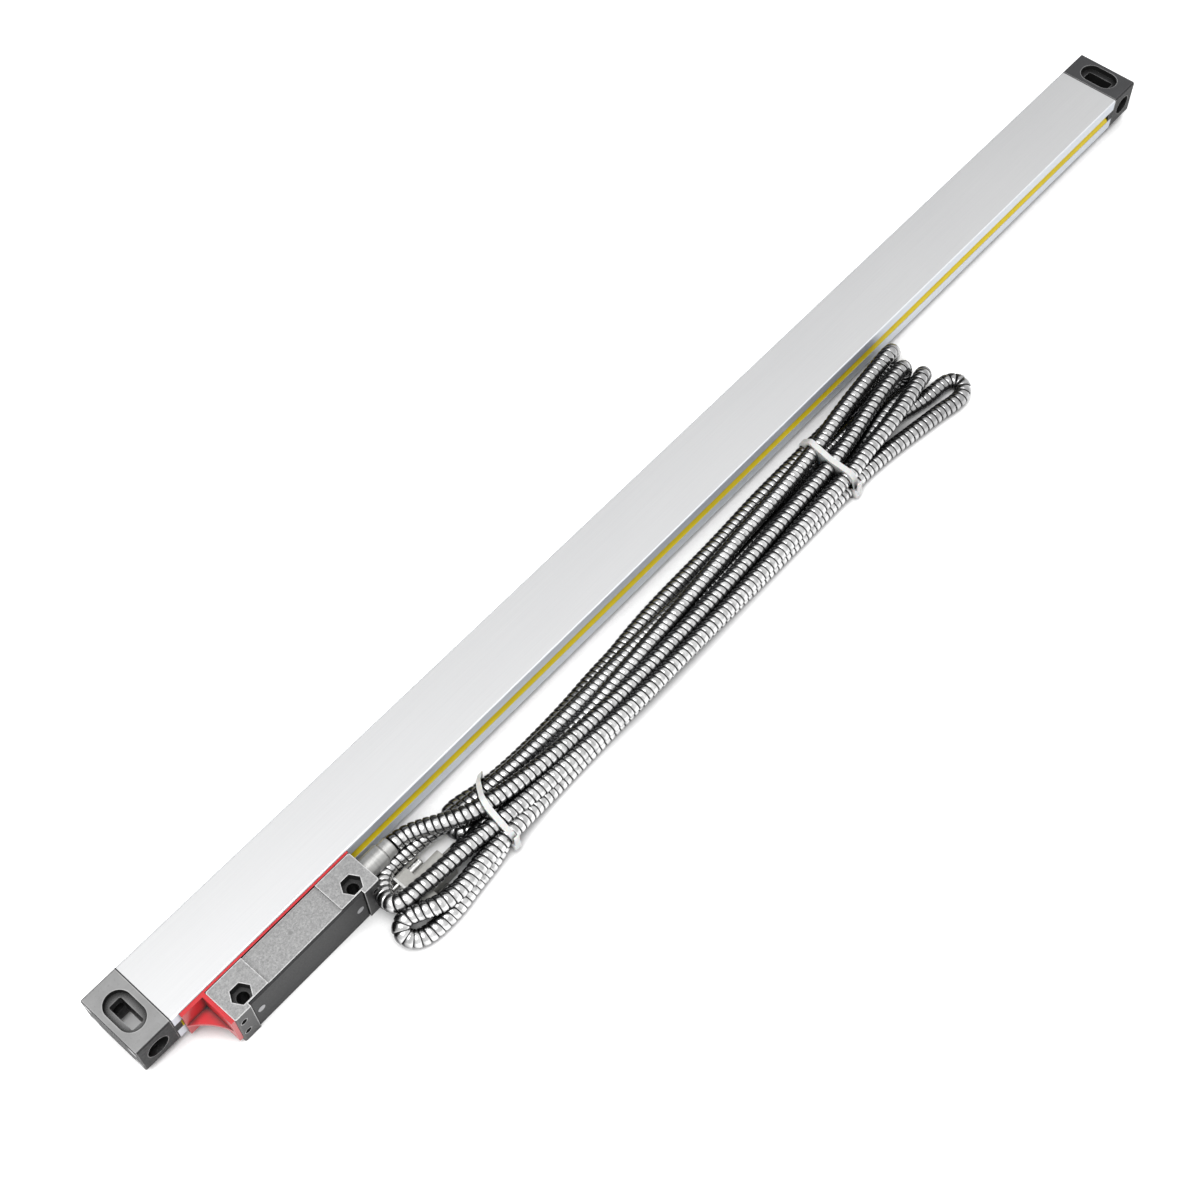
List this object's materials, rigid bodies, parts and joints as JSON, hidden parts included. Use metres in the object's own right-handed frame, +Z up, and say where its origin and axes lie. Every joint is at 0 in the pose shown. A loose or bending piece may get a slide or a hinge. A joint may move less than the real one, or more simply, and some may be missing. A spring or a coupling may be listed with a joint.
{
  "type": "linear glass scale",
  "caption": "Enclosed linear glass scale: slotted aluminium housing, read head sliding along it, armoured cable hank with connector.",
  "frame": {"origin": "centre of the bounding box of housing and read head at the height of the head's underside, 4 mm under the housing", "axes": "+X along the housing from the end where the read head rests, -Y from the housing to the read head, +Z up"},
  "size_m": [0.69, 0.0845, 0.023],
  "materials": {
    "housing_aluminium": "satin anodised",
    "seal_yellow": "matt",
    "scale_glass": "polished, chrome graduation",
    "bonding_rubber": "matt",
    "cap_casting": "grey die casting",
    "gasket_rubber": "matt",
    "screw_steel": "zinc plated",
    "head_casting": "mottled die casting",
    "cover_paint": "dark grey",
    "board_green": "solder resist",
    "spring_steel": "bright",
    "carriage_casting": "as cast",
    "bearing_steel": "ground",
    "reticle_glass": "polished",
    "chip_black": "moulded",
    "lens_clear": "clear",
    "lead_amber": "film",
    "gland_metal": "satin turned",
    "core_jacket": "matt",
    "hose_steel": "bright interlocked strip",
    "tie_nylon": "natural nylon",
    "hood_casting": "light grey",
    "shell_plate": "nickel plated",
    "insert_black": "moulded",
    "bracket_red": "moulded"
  },
  "bodies": {
    "scale": {"extrusion_housing": "housing_aluminium", "lip_seal_upper": "seal_yellow", "lip_seal_lower": "seal_yellow", "glass_scale": "scale_glass", "glass_bonding_strip": "bonding_rubber", "end_cap_near": "cap_casting", "end_cap_far": "cap_casting", "end_gasket_near": "gasket_rubber", "end_gasket_far": "gasket_rubber", "end_cap_screws": "screw_steel"},
    "read_head": {"head_housing": "head_casting", "head_cover": "cover_paint", "cover_screws": "screw_steel", "head_circuit_board": "board_green", "board_screws": "screw_steel", "coupling_blade": "spring_steel", "blade_screws": "screw_steel", "coupling_wire": "spring_steel", "carriage_frame": "carriage_casting", "bearing_inner_rings": "bearing_steel", "bearing_pins": "bearing_steel", "reticle": "reticle_glass", "photodetector": "chip_black", "detector_board": "board_green", "light_source_board": "board_green", "light_source_lens": "lens_clear", "head_lead": "lead_amber", "light_source_lead": "lead_amber", "gland_body": "gland_metal", "gland_ferrule": "gland_metal", "cable_core": "core_jacket", "hose_tube": "hose_steel", "hose_hank": "hose_steel", "cable_tie_near": "tie_nylon", "cable_tie_far": "tie_nylon", "connector_hood": "hood_casting", "connector_shell": "shell_plate", "connector_insert": "insert_black"},
    "bearing_1": {"bearing_outer_ring_1": "bearing_steel"},
    "bearing_2": {"bearing_outer_ring_2": "bearing_steel"},
    "bearing_3": {"bearing_outer_ring_3": "bearing_steel"},
    "bearing_4": {"bearing_outer_ring_4": "bearing_steel"},
    "bearing_5": {"bearing_outer_ring_5": "bearing_steel"},
    "thumbscrew_right": {"thumbscrew_right": "shell_plate"},
    "thumbscrew_left": {"thumbscrew_left": "shell_plate"},
    "transport_bracket": {"transport_bracket": "bracket_red"}
  },
  "joints": [
    {"name": "head_travel", "type": "slide", "parent": "scale", "child": "read_head", "axis": [1, 0, 0], "range_m": [-0.003, 0.547]},
    {"name": "bearing_1_spin", "type": "hinge", "parent": "read_head", "child": "bearing_1", "pos_m": [-0.3, 0.0162, 0.01805], "axis": [0, 1, 0], "continuous": true},
    {"name": "bearing_2_spin", "type": "hinge", "parent": "read_head", "child": "bearing_2", "pos_m": [-0.272, 0.0126, 0.01805], "axis": [0, 1, 0], "continuous": true},
    {"name": "bearing_3_spin", "type": "hinge", "parent": "read_head", "child": "bearing_3", "pos_m": [-0.244, 0.0162, 0.01805], "axis": [0, 1, 0], "continuous": true},
    {"name": "bearing_4_spin", "type": "hinge", "parent": "read_head", "child": "bearing_4", "pos_m": [-0.292, 0.00725, 0.0135], "axis": [0, 0, 1], "continuous": true},
    {"name": "bearing_5_spin", "type": "hinge", "parent": "read_head", "child": "bearing_5", "pos_m": [-0.252, 0.00725, 0.0135], "axis": [0, 0, 1], "continuous": true},
    {"name": "thumbscrew_right_turn", "type": "hinge", "parent": "read_head", "child": "thumbscrew_right", "pos_m": [-0.222, -0.0428, 0.0046], "axis": [1, 0, 0], "continuous": true},
    {"name": "thumbscrew_left_turn", "type": "hinge", "parent": "read_head", "child": "thumbscrew_left", "pos_m": [-0.222, -0.0262, 0.0046], "axis": [1, 0, 0], "continuous": true},
    {"name": "transport_bracket_slide", "type": "slide", "parent": "read_head", "child": "transport_bracket", "axis": [-1, 0, 0], "range_m": [0, 0.095]}
  ],
  "couplings": [
    {"joint": "bearing_1_spin", "follows": "head_travel", "rad_per_m": 400},
    {"joint": "bearing_2_spin", "follows": "head_travel", "rad_per_m": 400},
    {"joint": "bearing_3_spin", "follows": "head_travel", "rad_per_m": 400},
    {"joint": "bearing_4_spin", "follows": "head_travel", "rad_per_m": 400},
    {"joint": "bearing_5_spin", "follows": "head_travel", "rad_per_m": 400}
  ]
}
